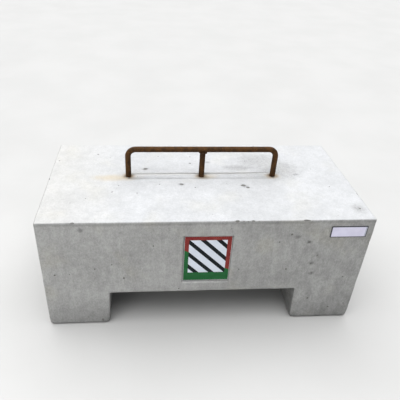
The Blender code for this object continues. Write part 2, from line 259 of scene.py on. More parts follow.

# The top: what its clouds even out to, how much lighter and bluer it is painted as painted light from
# overhead, and its tint at the left end
CEMENT_EVEN = (0.345, 0.345, 0.335)
TOP_PAINTED_LIGHT = (1.215, 1.23, 1.28)
CREAM_TINT = (1.05, 1.02, 0.96)

# Painted light on the imprint's rear wall, which faces the front, and what stains the top
REAR_WALL_PAINTED_LIGHT = (0.62, 0.62, 0.60)
DIRT = (0.22, 0.22, 0.215)
IMPRINT_DIRT = (0.20, 0.19, 0.165)
RUST_RUN = (0.42, 0.335, 0.200)
RUST_HALO = (0.17, 0.11, 0.055)

# Steel: dark scale, brown rust and orange rust
BAR_TONES = ((0.030, 0.0145, 0.005), (0.072, 0.032, 0.009), (0.19, 0.078, 0.018))
WELD_TONES = ((0.027, 0.0140, 0.006), (0.058, 0.027, 0.009), (0.15, 0.065, 0.018))
REBAR_TONES = ((0.060, 0.036, 0.024), (0.13, 0.070, 0.040), (0.26, 0.11, 0.04))


class Finish:
    """A procedural material. Each call adds nodes and returns the output to use."""

    def __init__(self, name, metallic=0.0, specular=0.5):
        self.material = bpy.data.materials.new(name)
        self.material.use_nodes = True
        self.tree = self.material.node_tree
        self.surface = self.tree.nodes["Principled BSDF"]
        self.surface.inputs["Metallic"].default_value = metallic
        self.surface.inputs["Specular IOR Level"].default_value = specular
        self.place = self.tree.nodes.new("ShaderNodeTexCoord").outputs["Object"]
        self.height = None

    def put(self, socket, value):
        """Link an output to a socket, or set it where the value is plain."""
        if isinstance(value, bpy.types.NodeSocket):
            self.tree.links.new(value, socket)
        elif isinstance(value, tuple) and len(value) == 3 and socket.type == "RGBA":
            socket.default_value = (*value, 1.0)
        else:
            socket.default_value = value

    def maths(self, operation, first, second=0.0):
        node = self.tree.nodes.new("ShaderNodeMath")
        node.operation = operation
        self.put(node.inputs[0], first)
        self.put(node.inputs[1], second)
        return node.outputs[0]

    def product(self, *values):
        """The values multiplied together."""
        result = values[0]
        for value in values[1:]:
            result = self.maths("MULTIPLY", result, value)
        return result

    def most(self, values):
        """The largest of several masks."""
        result = values[0]
        for value in values[1:]:
            result = self.maths("MAXIMUM", result, value)
        return result

    def rest(self, value):
        """What a value lacks to 1."""
        return self.maths("SUBTRACT", 1.0, value)

    def vector(self, operation, first, second=(0.0, 0.0, 0.0)):
        node = self.tree.nodes.new("ShaderNodeVectorMath")
        node.operation = operation
        self.put(node.inputs[0], first)
        self.put(node.inputs[1], second)
        return node.outputs["Value" if operation == "LENGTH" else "Vector"]

    def noise(self, size, detail=3, rough=0.5, stretch=(1, 1, 1), seed=0):
        """Noise about 0.5, with features of about this size, longer along the stretched axes."""
        scale = tuple(1.0 / (size * share) for share in stretch)
        node = self.tree.nodes.new("ShaderNodeTexNoise")
        node.noise_dimensions = "4D"
        self.put(node.inputs["Vector"], self.vector("MULTIPLY", self.place, scale))
        node.inputs["W"].default_value = seed
        node.inputs["Scale"].default_value = 1.0
        node.inputs["Detail"].default_value = detail
        node.inputs["Roughness"].default_value = rough
        return node.outputs["Fac"]

    def ramp(self, value, start, end, low=0.0, high=1.0):
        """From low where the value is at start, smoothly to high where it is at end."""
        node = self.tree.nodes.new("ShaderNodeMapRange")
        node.interpolation_type = "SMOOTHSTEP"
        for socket, number in (("From Min", start), ("From Max", end), ("To Min", low), ("To Max", high)):
            node.inputs[socket].default_value = number
        self.put(node.inputs["Value"], value)
        return node.outputs["Result"]

    def mix(self, share, first, second, blend="MIX"):
        node = self.tree.nodes.new("ShaderNodeMix")
        node.data_type = "RGBA"
        node.blend_type = blend
        self.put(node.inputs["Factor"], share)
        self.put(node.inputs[COLOUR_A], first)
        self.put(node.inputs[COLOUR_B], second)
        return node.outputs[COLOUR_OUT]

    def tinted(self, colour, tint):
        """The colour times another."""
        return self.mix(1.0, colour, tint, "MULTIPLY")

    def shade(self, colour, value):
        """The colour times a value."""
        node = self.tree.nodes.new("ShaderNodeCombineColor")
        for socket in node.inputs:
            self.put(socket, value)
        return self.tinted(colour, node.outputs[0])

    def axis(self, name):
        node = self.tree.nodes.new("ShaderNodeSeparateXYZ")
        self.put(node.inputs[0], self.place)
        return node.outputs[name]

    def distance(self, axis, place):
        """How far away a place on an axis is."""
        return self.maths("ABSOLUTE", self.maths("SUBTRACT", self.axis(axis), place))

    def facing_up(self):
        """1 on surfaces that face up, 0 on the others."""
        geometry = self.tree.nodes.new("ShaderNodeNewGeometry")
        node = self.tree.nodes.new("ShaderNodeSeparateXYZ")
        self.put(node.inputs[0], geometry.outputs["Normal"])
        return self.ramp(node.outputs["Z"], 0.72, 0.96)

    def spot(self, centre, reach, ragged=0.35, size=0.02, seed=0):
        """1 at the centre, falling to 0 at reach along each axis, with a ragged edge."""
        away = self.vector("SUBTRACT", self.place, centre)
        away = self.vector("LENGTH", self.vector("DIVIDE", away, reach))
        wander = self.maths("SUBTRACT", self.noise(size, detail=5, rough=0.6, seed=seed), 0.5)
        wander = self.product(wander, 2 * ragged)
        return self.ramp(self.maths("ADD", away, wander), 1.0, 0.15)

    def top_spots(self, spots, **look):
        """One mask of spots on the top of the block, from their places and reaches."""
        masks = []
        for x, y, reach_x, reach_y in spots:
            masks.append(self.spot((x, y, HIGH.z), (reach_x, reach_y, STAIN_DEPTH), **look))
        return self.most(masks)

    def add_height(self, value, depth):
        """Add relief: the value's 0 to 1 is this depth in metres."""
        relief = self.product(value, depth)
        self.height = relief if self.height is None else self.maths("ADD", self.height, relief)

    def done(self, colour, roughness):
        self.put(self.surface.inputs["Base Color"], colour)
        self.put(self.surface.inputs["Roughness"], roughness)
        if self.height is not None:
            bump = self.tree.nodes.new("ShaderNodeBump")
            bump.inputs["Distance"].default_value = 1.0
            self.put(bump.inputs["Height"], self.height)
            self.put(self.surface.inputs["Normal"], bump.outputs["Normal"])
        return self.material


def concrete_body(finish):
    """Grey cement with clouds, mottling, sand and faint tints. Returns its colour and roughness."""
    clouds = finish.noise(0.16)
    mottling = finish.noise(0.028, detail=5, rough=0.62, seed=2)
    speckle = finish.noise(0.0050, rough=0.65, stretch=(1, 1, 1.8), seed=3)
    sand = finish.noise(0.0022, detail=2, seed=4)
    warm = finish.ramp(finish.noise(0.11, seed=6), 0.50, 0.68)
    colour = finish.mix(finish.ramp(clouds, 0.32, 0.68), CEMENT_DARK, CEMENT_LIGHT)
    colour = finish.mix(finish.product(warm, 0.5), colour, CEMENT_WARM)
    colour = finish.shade(colour, finish.ramp(mottling, 0.25, 0.75, 0.89, 1.11))
    colour = finish.shade(colour, finish.ramp(speckle, 0.28, 0.72, 0.89, 1.11))
    colour = finish.shade(colour, finish.ramp(sand, 0.25, 0.75, 0.92, 1.08))
    finish.add_height(mottling, 0.0010)
    finish.add_height(speckle, 0.0004)
    finish.add_height(sand, 0.00035)
    return colour, finish.ramp(mottling, 0.3, 0.7, 0.82, 0.95)


def top_stains(finish, colour):
    """Rust from the handle's legs, dirt in the batten's imprint and grey patches on the top."""
    smudges = [(*place, *TOP_SMUDGE_REACH) for place in TOP_SMUDGES]
    rust = finish.top_spots(RUST_RUNS, seed=11)
    deep_rust = finish.top_spots(RUST_HALOS, ragged=0.3, size=0.008, seed=15)
    dirt = finish.top_spots(DIRT_PATCHES, ragged=0.6, size=0.014, seed=21)
    smudge = finish.top_spots(smudges, ragged=0.8, size=0.007, seed=23)
    specks = finish.ramp(finish.noise(0.005, rough=0.7, seed=22), 0.35, 0.65, 0.25, 0.75)
    colour = finish.mix(finish.product(dirt, specks), colour, DIRT)
    colour = finish.shade(colour, finish.ramp(smudge, 0.0, 1.0, 1.0, 0.7))
    colour = finish.mix(finish.product(rust, 0.46), colour, RUST_RUN)
    colour = finish.mix(finish.product(deep_rust, 0.85), colour, RUST_HALO)
    return finish.mix(imprint_lines(finish), colour, IMPRINT_DIRT)


def in_imprint(finish):
    """1 in the batten's imprint, with its low walls, and 0 elsewhere."""
    middle, half = (LEFT_LEG_X + RIGHT_LEG_X) / 2, (RIGHT_LEG_X - LEFT_LEG_X) / 2
    edge = IMPRINT_WIDTH / 2 + IMPRINT_REACH
    floor = HIGH.z - IMPRINT_REACH
    along = finish.ramp(finish.distance("X", middle), half, half - IMPRINT_REACH)
    across = finish.ramp(finish.distance("Y", LEG_Y), edge, edge - 0.001)
    near_top = finish.ramp(finish.axis("Z"), floor, floor + 0.001)
    return finish.product(along, across, near_top)


def imprint_lines(finish):
    """Dirt along the front and back edges of the batten's imprint, darker at the front."""
    noise_here = finish.noise(0.02, detail=4, rough=0.6, stretch=(2, 1, 1), seed=31)
    patches = finish.ramp(noise_here, 0.3, 0.6, 0.4, 1.0)
    masks = []
    for edge, strength in ((LEG_Y - IMPRINT_WIDTH / 2, 0.22), (LEG_Y + IMPRINT_WIDTH / 2, 0.06)):
        masks.append(finish.ramp(finish.distance("Y", edge), 0.0022, 0.0006, 0.0, strength))
    return finish.product(finish.most(masks), patches, in_imprint(finish))


def side_stains_and_shade(finish, colour):
    """Runs and grime on the sides, painted shade along the top arris, towards the right end and in the fork
    slot, and darker towards the ground.
    """
    x, z = finish.axis("X"), finish.axis("Z")
    streaks = finish.noise(0.019, detail=4, stretch=(1, 1, 10), seed=41)
    runs = finish.ramp(streaks, 0.3, 0.7, 0.94, 1.05)
    ragged = finish.product(finish.noise(0.04, detail=4, rough=0.6, seed=42), 0.06)
    # Darker towards the ground.
    ground = finish.ramp(finish.maths("SUBTRACT", z, ragged), -0.03, 0.11, 0.74, 1.0)
    wandering_z = finish.maths("ADD", z, finish.product(ragged, 0.3))
    # Painted shade along the top arris and just under it, on the sides.
    arris_shade = finish.ramp(wandering_z, HIGH.z - 0.006, HIGH.z + 0.003, 1.0, 0.79)
    blotches = finish.ramp(finish.noise(0.014, rough=0.6, seed=43), 0.60, 0.76, 1.0, 0.84)
    # Painted shade: the sides get darker towards the right end.
    right_end_shade = finish.ramp(x, 0.30, 0.52, 1.0, 0.95)
    patches = finish.noise(0.026, detail=4, rough=0.65, stretch=(1, 1, 2.2), seed=46)
    grime_and_shade = finish.product(finish.ramp(patches, 0.44, 0.62), finish.ramp(x, 0.0, 0.40, 0.03, 0.15))
    smudges = []
    for place_x, place_z in FRONT_SMUDGES:
        centre = (place_x, LOW.y, place_z)
        smudges.append(finish.spot(centre, FRONT_SMUDGE_REACH, ragged=0.8, size=0.006, seed=44))
    smudge = finish.product(finish.most(smudges), 0.35)
    shade = finish.product(runs, ground, arris_shade, blotches, right_end_shade)
    shade = finish.product(shade, finish.rest(grime_and_shade), finish.rest(smudge), slot_shade(finish))
    return finish.shade(colour, shade)


def slot_shade(finish):
    """Painted shade on the sides and roof of the fork slot."""
    middle, half = (SLOT_LEFT[0] + SLOT_RIGHT[0]) / 2, (SLOT_RIGHT[0] - SLOT_LEFT[0]) / 2
    across = finish.ramp(finish.distance("X", middle), half + 0.004, half)
    below = finish.ramp(finish.axis("Z"), SLOT_ROOF + 0.004, SLOT_ROOF)
    behind = finish.ramp(finish.axis("Y"), LOW.y + 0.002, LOW.y + 0.010)
    # How strong the slot's painted shade is, uneven in patches.
    grime_and_shade = finish.ramp(finish.noise(0.03, detail=4, rough=0.65, seed=45), 0.3, 0.7, 0.42, 0.20)
    return finish.rest(finish.product(across, below, behind, grime_and_shade))


def concrete_finish():
    finish = Finish("cast_concrete", specular=0.3)
    cement, roughness = concrete_body(finish)
    evened = finish.mix(0.35, cement, CEMENT_EVEN)
    # Painted light: the top's colour is made lighter and bluer than the sides'.
    painted_light_top = finish.tinted(evened, TOP_PAINTED_LIGHT)
    cream = finish.ramp(finish.axis("X"), -0.20, LOW.x, 0.0, 0.6)
    painted_light_top = finish.mix(cream, painted_light_top, finish.tinted(painted_light_top, CREAM_TINT))
    sides = side_stains_and_shade(finish, cement)
    up, imprint = finish.facing_up(), in_imprint(finish)
    # Painted light: the imprint's rear wall, which faces the front, gets a light colour.
    rear = finish.ramp(finish.axis("Y"), LEG_Y, LEG_Y + 0.001)
    rear_wall_light = finish.product(imprint, rear, finish.rest(up))
    painted_light_top = finish.mix(rear_wall_light, painted_light_top, REAR_WALL_PAINTED_LIGHT)
    on_top = finish.maths("MAXIMUM", up, imprint)
    colour = finish.mix(on_top, sides, top_stains(finish, painted_light_top))
    return finish.done(colour, roughness)


def hollow_shade_finish():
    """The rough inside of a bug hole or a chip, painted dark: painted shade in the hollow."""
    finish = Finish("hollow_painted_shade", specular=0.2)
    grain = finish.noise(0.0015, detail=4, rough=0.7, seed=51)
    colour = finish.mix(finish.ramp(grain, 0.3, 0.7), (0.09, 0.088, 0.08), (0.20, 0.197, 0.185))
    finish.add_height(grain, 0.0006)
    return finish.done(colour, finish.ramp(grain, 0.3, 0.7, 0.85, 1.0))


def rust_finish(name, dark, brown, orange, orange_from):
    """Rusted mild steel: dark scale, brown rust and flecks of fresh orange."""
    finish = Finish(name, specular=0.15)
    scale = finish.noise(0.018, detail=5, rough=0.65, stretch=(1, 1, 1.6), seed=61)
    flecks = finish.noise(0.0045, detail=4, rough=0.65, seed=62)
    grain = finish.noise(0.0012, rough=0.6, seed=63)
    colour = finish.mix(finish.ramp(scale, 0.35, 0.65), dark, brown)
    colour = finish.mix(finish.ramp(flecks, orange_from, orange_from + 0.14, 0.0, 0.8), colour, orange)
    colour = finish.shade(colour, finish.ramp(grain, 0.25, 0.75, 0.75, 1.25))
    finish.add_height(flecks, 0.0012)
    finish.add_height(grain, 0.0004)
    return finish.done(colour, finish.ramp(flecks, 0.35, 0.65, 0.62, 0.85))


def cement_finish():
    """Fibre cement of the spacers, with short light fibres."""
    finish = Finish("fibre_cement", specular=0.3)
    grain = finish.noise(0.002, detail=4, rough=0.6, seed=71)
    fibres = finish.noise(0.0008, detail=2, stretch=(6, 1, 1), seed=72)
    colour = finish.mix(finish.ramp(grain, 0.3, 0.7), (0.34, 0.335, 0.32), (0.46, 0.455, 0.44))
    colour = finish.mix(finish.ramp(fibres, 0.66, 0.74, 0.0, 0.6), colour, (0.62, 0.61, 0.58))
    finish.add_height(grain, 0.0003)
    return finish.done(colour, finish.ramp(grain, 0.3, 0.7, 0.85, 0.97))


def plate_finish():
    """Aluminium sheet, brushed along X and dulled outdoors."""
    finish = Finish("plate_aluminium", metallic=1.0)
    brushing = finish.noise(0.0006, stretch=(30, 1, 1), seed=81)
    dulling = finish.noise(0.02, detail=4, rough=0.6, seed=82)
    colour = finish.mix(finish.ramp(dulling, 0.35, 0.65), (0.60, 0.61, 0.62), (0.76, 0.77, 0.78))
    finish.add_height(brushing, 0.00004)
    return finish.done(colour, finish.ramp(brushing, 0.3, 0.7, 0.34, 0.52))


def print_finish(name, colour, faded):
    """Printed film: an even ink, a little faded in patches, with road dust in its fine grain."""
    finish = Finish(name, specular=0.1)
    patches = finish.noise(0.03, detail=4, rough=0.6, seed=91)
    dust = finish.noise(0.0025, detail=4, rough=0.7, seed=92)
    result = finish.mix(finish.ramp(patches, 0.35, 0.7), colour, faded)
    result = finish.mix(finish.ramp(dust, 0.58, 0.75, 0.0, 0.10), result, (0.33, 0.32, 0.30))
    finish.add_height(patches, 0.0002)
    return finish.done(result, finish.ramp(dust, 0.4, 0.7, 0.35, 0.6))


def foam_finish():
    """Dark foam tape with fine open cells."""
    finish = Finish("foam_tape", specular=0.3)
    cells = finish.noise(0.0009, detail=2, seed=101)
    colour = finish.mix(finish.ramp(cells, 0.4, 0.6), (0.030, 0.030, 0.036), (0.085, 0.085, 0.10))
    finish.add_height(cells, 0.0003)
    return finish.done(colour, finish.ramp(cells, 0.4, 0.6, 0.7, 0.9))


def label_finish():
    """Blank label stock: lavender white, with a grey-blue strip at its right end."""
    finish = Finish("label_stock", specular=0.4)
    fade = finish.noise(0.02, seed=111)
    dust = finish.noise(0.002, detail=4, rough=0.7, seed=112)
    colour = finish.mix(finish.ramp(fade, 0.35, 0.65), (0.63, 0.615, 0.75), (0.67, 0.655, 0.79))
    strip = finish.ramp(finish.axis("X"), LABEL_FACE_RIGHT - 0.0045, LABEL_FACE_RIGHT - 0.0035)
    colour = finish.mix(finish.product(strip, 0.8), colour, (0.36, 0.38, 0.46))
    colour = finish.mix(finish.ramp(dust, 0.60, 0.75, 0.0, 0.2), colour, (0.45, 0.44, 0.42))
    return finish.done(colour, finish.ramp(dust, 0.4, 0.7, 0.4, 0.6))


def floor_finish():
    finish = Finish("studio_floor", specular=0.1)
    tone = finish.ramp(finish.noise(0.4, seed=121), 0.3, 0.7)
    colour = finish.mix(tone, (0.42, 0.418, 0.408), (0.44, 0.438, 0.428))
    return finish.done(colour, finish.ramp(tone, 0.0, 1.0, 0.9, 0.95))


# ---------- Concrete block ----------


def largest_face(mesh, direction, low_z, high_z):
    """The largest face that looks in a direction and has its middle between two heights."""
    facing = [face for face in mesh.polygons if face.normal.dot(direction) > 0.99]
    between = [face for face in facing if low_z < face.center.z < high_z]
    inner = [face for face in between if abs(face.center.x) < HIGH.x * 0.8]
    return max(inner, key=lambda face: face.area)


def slot_planes():
    """The fork slot's roof level, and for its left and right sides the place on the ground and the lean."""
    mesh = nodes["concrete_block"].data
    middle = HIGH.z / 2
    roof = largest_face(mesh, Vector((0, 0, -1)), HIGH.z * 0.2, middle).center.z
    sides = []
    for outward in (1, -1):
        face = largest_face(mesh, Vector((outward, 0, 0)), 0, middle)
        lean = -face.normal.z / face.normal.x
        sides.append((face.center.x - lean * face.center.z, lean))
    return roof, sides[0], sides[1]


SLOT_ROOF, SLOT_LEFT, SLOT_RIGHT = slot_planes()


def slot_side(side, height):
    """Where a side of the slot is at a height."""
    ground, lean = side
    return ground + lean * np.minimum(height, SLOT_ROOF)


ROOF_LEFT, ROOF_RIGHT = (slot_side(side, SLOT_ROOF) for side in (SLOT_LEFT, SLOT_RIGHT))


def graded(start, end):
    """Places from start to end: close rows beside both, and even steps between."""
    inner = ARRIS_ROWS[-1]
    steps = max(1, round((end - start - 2 * inner) / SKIN_STEP))
    even = np.linspace(start + inner, end - inner, steps + 1)
    rows = np.array(ARRIS_ROWS[:-1])
    return [*(start + rows), *even, *(end - rows[::-1])]


def lattice_faces(lines, solid):
    """The corners and the outer faces of the solid cells between the lines of a lattice."""
    numbers = {}
    faces = []
    for axis in range(3):
        margin = [(1, 1) if a == axis else (0, 0) for a in range(3)]
        change = np.diff(np.pad(solid, margin).astype(int), axis=axis)
        ahead, across = (axis + 1) % 3, (axis + 2) % 3
        for cell in np.argwhere(change):
            corners = []
            for step_ahead, step_across in ((0, 0), (1, 0), (1, 1), (0, 1)):
                corner = list(cell)
                corner[ahead] += step_ahead
                corner[across] += step_across
                corners.append(numbers.setdefault(tuple(corner), len(numbers)))
            faces.append(corners if change[tuple(cell)] < 0 else corners[::-1])
    points = np.array([[lines[axis][corner[axis]] for axis in range(3)] for corner in numbers])
    return points, faces


def sharp_block():
    """The concrete's outside with sharp arrises, on a lattice that follows the slot's leaning sides."""
    stops = [LOW.x, SLOT_LEFT[0], SLOT_RIGHT[0], HIGH.x]
    parts = [graded(start, end) for start, end in zip(stops, stops[1:])]
    x_lines = np.array(parts[0] + parts[1][1:] + parts[2][1:])
    y_lines = np.array(graded(LOW.y, HIGH.y))
    low_part = graded(LOW.z, SLOT_ROOF)
    z_lines = np.array(low_part + graded(SLOT_ROOF, HIGH.z)[1:])
    solid = np.ones((len(x_lines) - 1, len(y_lines) - 1, len(z_lines) - 1), bool)
    first = len(parts[0]) - 1
    solid[first : first + len(parts[1]) - 1, :, : len(low_part) - 1] = False
    points, faces = lattice_faces((x_lines, y_lines, z_lines), solid)
    left = slot_side(SLOT_LEFT, points[:, 2])
    right = slot_side(SLOT_RIGHT, points[:, 2])
    for index, (x, left_x, right_x) in enumerate(zip(points[:, 0].copy(), left, right)):
        points[index, 0] = np.interp(x, stops, [LOW.x, left_x, right_x, HIGH.x])
    return points, faces


def depths_behind_surfaces(points):
    """How far each point lies behind the planes of the outside and behind the slot, and the ways out."""
    x, y, z = points.T
    depths, ways_out = [], []
    for depth, way_out in (
        (x - LOW.x, (-1, 0, 0)),
        (HIGH.x - x, (1, 0, 0)),
        (y - LOW.y, (0, -1, 0)),
        (HIGH.y - y, (0, 1, 0)),
        (z - LOW.z, (0, 0, -1)),
        (HIGH.z - z, (0, 0, 1)),
    ):
        depths.append(depth)
        ways_out.append(np.tile(way_out, (len(points), 1)))
    slot_depth, slot_way_out = depth_behind_slot(x, z)
    return np.stack([*depths, slot_depth], axis=1), np.stack([*ways_out, slot_way_out], axis=1)


def depth_behind_slot(x, z):
    """How far points lie behind the slot's sides and roof, with its fillets, and the ways out."""
    behind_left = slot_side(SLOT_LEFT, z) - x
    behind_right = x - slot_side(SLOT_RIGHT, z)
    behind_side = np.maximum(behind_left, behind_right)
    behind_roof = z - SLOT_ROOF
    side_way = np.where(behind_left > behind_right, 1.0, -1.0)
    from_side = behind_side + SLOT_FILLET
    from_roof = behind_roof + SLOT_FILLET
    from_centre = np.hypot(from_side, from_roof)
    at_fillet = (from_side > 0) & (from_roof > 0)
    nearer_side = behind_side > behind_roof
    depth = np.where(at_fillet, from_centre - SLOT_FILLET, np.maximum(behind_side, behind_roof))
    way_x = side_way * np.where(at_fillet, from_side / from_centre, nearer_side)
    way_z = -np.where(at_fillet, from_roof / from_centre, ~nearer_side)
    return depth, np.stack([way_x, np.zeros_like(x), way_z], axis=1)


def worn_radius(point):
    """The arris radius at a point: rounder where it is worn, and rounder still at the ground."""
    wear = 0.5 + 0.5 * unevenness(point, 0.045) + 0.3 * unevenness(point, 0.012)
    ground = max(0.0, 1.0 - point[2] / GROUND_WEAR_HEIGHT)
    return ARRIS_RADIUS + ARRIS_WEAR * min(1.0, max(0.0, wear)) + GROUND_WEAR * ground


def rounded(points):
    """The sharp block's points moved onto worn, rounded arrises and slightly wavy faces."""
    depths, ways_out = depths_behind_surfaces(points)
    radius = np.array([worn_radius(point) for point in points])
    reach = np.clip(radius[:, None] - depths, 0, None)
    length = np.linalg.norm(reach, axis=1)
    inward = reach * (1 - radius / length)[:, None]
    waves = np.array([0.5 + 0.5 * unevenness(point, 0.13) for point in points])
    inward += reach / length[:, None] * (SKIN_INSET + WAVINESS * waves)[:, None]
    return points - (inward[:, :, None] * ways_out).sum(axis=1)


@dataclass
class Hollow:
    """A bug hole or chip: an uneven ball, squashed along one way and stretched along another."""

    centre: Vector
    radius: float
    out: Vector
    squash: float
    along: Vector
    stretch: float


def hollow_matrix(hollow):
    """What turns a ball of radius 1 into the hollow."""
    out = hollow.out.normalized()
    along = (hollow.along - out * hollow.along.dot(out)).normalized()
    across = out.cross(along)
    turn = Matrix((along, across, out)).transposed().to_4x4()
    size = Matrix.Diagonal((hollow.stretch, 1.0, hollow.squash, 1.0)) * hollow.radius
    size[3][3] = 1.0
    return Matrix.Translation(hollow.centre) @ turn @ size


def on_outside(point):
    """Whether a point of the block's faces is bare concrete, clear of the slot, the plate and the label."""
    x, y, z = point
    left, right = (slot_side(side, z) for side in (SLOT_LEFT, SLOT_RIGHT))
    if z < SLOT_ROOF + HOLE_TO_SLOT and left - HOLE_TO_SLOT < x < right + HOLE_TO_SLOT:
        return False
    if y > LOW.y + 0.001:
        return True
    beside, below, above = HOLE_TO_PLATE
    for low, high in ((PLATE_LOW, PLATE_HIGH), (LABEL_LOW, LABEL_HIGH)):
        if low.x - beside < x < high.x + beside and low.z - below < z < high.z + above:
            return False
    return True


def face_panels():
    """The block's large faces: a corner, two sides and the way out."""
    size = HIGH - LOW
    along, back, up = Vector((size.x, 0, 0)), Vector((0, size.y, 0)), Vector((0, 0, size.z))
    roof_corner = Vector((ROOF_LEFT, LOW.y, SLOT_ROOF))
    roof_along = Vector((ROOF_RIGHT - ROOF_LEFT, 0, 0))
    return (
        (LOW, along, up, Vector((0, -1, 0))),
        (LOW + back, along, up, Vector((0, 1, 0))),
        (LOW, back, up, Vector((-1, 0, 0))),
        (LOW + along, back, up, Vector((1, 0, 0))),
        (LOW + up, along, back, Vector((0, 0, 1))),
        (roof_corner, roof_along, back, Vector((0, 0, -1))),
    )


def clear_of(hollows, centre, radius):
    """Whether a new hollow keeps away from the others, because cutters that overlap cut wrongly."""
    for other in hollows:
        if (centre - other.centre).length < HOLLOW_SPACING * (radius + other.radius * other.stretch):
            return False
    return True


def chosen_hollows():
    """The larger bug holes and chips of the front and the top."""
    front, up, along = Vector((0, -1, 0)), Vector((0, 0, 1)), Vector((1, 0, 0))
    hollows = []
    for x, z, radius in FRONT_HOLES:
        hollows.append(Hollow(Vector((x, LOW.y, z)), radius, front, squash=0.45, along=up, stretch=1.25))
    for x, y, radius in TOP_HOLES:
        hollows.append(Hollow(Vector((x, y, HIGH.z)), radius, up, squash=0.4, along=along, stretch=1.35))
    for x, radius in FRONT_CHIPS:
        centre = Vector((x, LOW.y, HIGH.z))
        hollows.append(Hollow(centre, radius, front + up, squash=1.0, along=along, stretch=1.15))
    return hollows


def scattered_holes(draw, hollows):
    """Small bug holes over all the faces."""
    for corner, along, across, out in face_panels():
        count = round(HOLES_PER_SQUARE_METRE * along.length * across.length)
        for _ in range(count):
            centre = corner + along * draw.uniform(0.012, 0.988) + across * draw.uniform(0.02, 0.98)
            radius = SMALLEST_HOLE + (LARGEST_HOLE - SMALLEST_HOLE) * draw.random() ** 3
            centre = centre - out * 0.25 * radius
            stretch = draw.uniform(1.0, 1.5)
            if out.z < 0 or on_outside(centre):
                if clear_of(hollows, centre, radius * stretch):
                    way = along + across * draw.random()
                    hollows.append(Hollow(centre, radius, out, squash=0.9, along=way, stretch=stretch))


def arrises():
    """The block's arrises: start, end and the way out."""
    corners_x = ((LOW.x, -1), (HIGH.x, 1))
    corners_y = ((LOW.y, -1), (HIGH.y, 1))
    for y, out_y in corners_y:
        yield Vector((LOW.x, y, HIGH.z)), Vector((HIGH.x, y, HIGH.z)), Vector((0, out_y, 1))
        yield Vector((ROOF_LEFT, y, SLOT_ROOF)), Vector((ROOF_RIGHT, y, SLOT_ROOF)), Vector((0, out_y, -1))
        for x, out_x in corners_x:
            yield Vector((x, y, LOW.z)), Vector((x, y, HIGH.z)), Vector((out_x, out_y, 0))
        for outer, side in ((LOW.x, SLOT_LEFT), (HIGH.x, SLOT_RIGHT)):
            yield Vector((outer, y, LOW.z)), Vector((side[0], y, LOW.z)), Vector((0, out_y, -1))
    for x, out_x in corners_x:
        yield Vector((x, LOW.y, HIGH.z)), Vector((x, HIGH.y, HIGH.z)), Vector((out_x, 0, 1))


def scattered_chips(draw, hollows):
    """Chips out of the arrises, long along the arris."""
    for start, end, out in arrises():
        count = round(CHIPS_PER_METRE * (end - start).length)
        for _ in range(count):
            centre = start.lerp(end, draw.uniform(0.05, 0.95))
            radius = draw.uniform(SMALLEST_CHIP, LARGEST_CHIP)
            stretch = draw.uniform(1.0, 2.4)
            if clear_of(hollows, centre, radius * stretch):
                way = end - start
                hollows.append(Hollow(centre, radius, out, squash=0.9, along=way, stretch=stretch))


def hollows_mesh():
    """All the bug holes and chips as one cutter."""
    draw = random.Random(HOLLOW_SEED)
    hollows = chosen_hollows()
    scattered_holes(draw, hollows)
    scattered_chips(draw, hollows)
    mesh = bpy.data.meshes.new("hollows")
    with editing(mesh) as shape:
        for hollow in hollows:
            fine = 3 if hollow.radius > FINE_MESH_RADIUS else 2
            matrix = hollow_matrix(hollow)
            ball = bmesh.ops.create_icosphere(shape, subdivisions=fine, radius=1.0, matrix=matrix)
            for vert in ball["verts"]:
                bulge = 1.0 + HOLLOW_BULGE * unevenness(vert.co, 0.8 * hollow.radius)
                vert.co = hollow.centre + (vert.co - hollow.centre) * bulge
    return mesh


def make_concrete():
    """The block's skin, with the CAD's recesses and the hollows cut into it."""
    points, faces = sharp_block()
    mesh = bpy.data.meshes.new("cast_block")
    mesh.from_pydata([tuple(point) for point in rounded(points)], [], faces)
    block = link("cast_block", mesh)
    # The hollows' faces get a dark finish, which is painted shade.
    cast, hollow_shade = concrete_finish(), hollow_shade_finish()
    hollows = link("hollows", hollows_mesh())
    solid = welded_copy("block_with_pockets", "concrete_block")
    solid.data.materials.clear()
    for data in (mesh, hollows.data, solid.data):
        data.materials.append(cast)
        data.materials.append(hollow_shade)
    for data, number in ((solid.data, 0), (hollows.data, 1)):
        data.polygons.foreach_set("material_index", [number] * len(data.polygons))
    boolean(block, "INTERSECT", solid)
    boolean(block, "DIFFERENCE", hollows)
    apply_booleans(block, solid, hollows)
    shade_round(block.data, math.radians(32))
    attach(block, "root")
    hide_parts("concrete_block")


# ---------- Lifting handle ----------


def bent_path(corners, radii):
    """A bar's centre line through its corners, with an arc of its own radius at each."""
    path = [Vector(corners[0])]
    for before, corner, after, radius in zip(corners, corners[1:], corners[2:], radii):
        corner = Vector(corner)
        back = (Vector(before) - corner).normalized()
        ahead = (Vector(after) - corner).normalized()
        half_angle = back.angle(ahead) / 2
        centre = corner + (back + ahead).normalized() * radius / math.sin(half_angle)
        arm = corner + back * radius / math.tan(half_angle) - centre
        turn = Matrix.Rotation((math.pi - 2 * half_angle) / BEND_STEPS, 3, ahead.cross(back))
        for _ in range(BEND_STEPS + 1):
            path.append(centre + arm)
            arm = turn @ arm
    path.append(Vector(corners[-1]))
    return path


def even_path(path, step):
    """The same line, with more points where two are further apart than a step."""
    result = [path[0]]
    for start, end in zip(path, path[1:]):
        count = max(1, round((end - start).length / step))
        result += [start.lerp(end, number / count) for number in range(1, count + 1)]
    return result


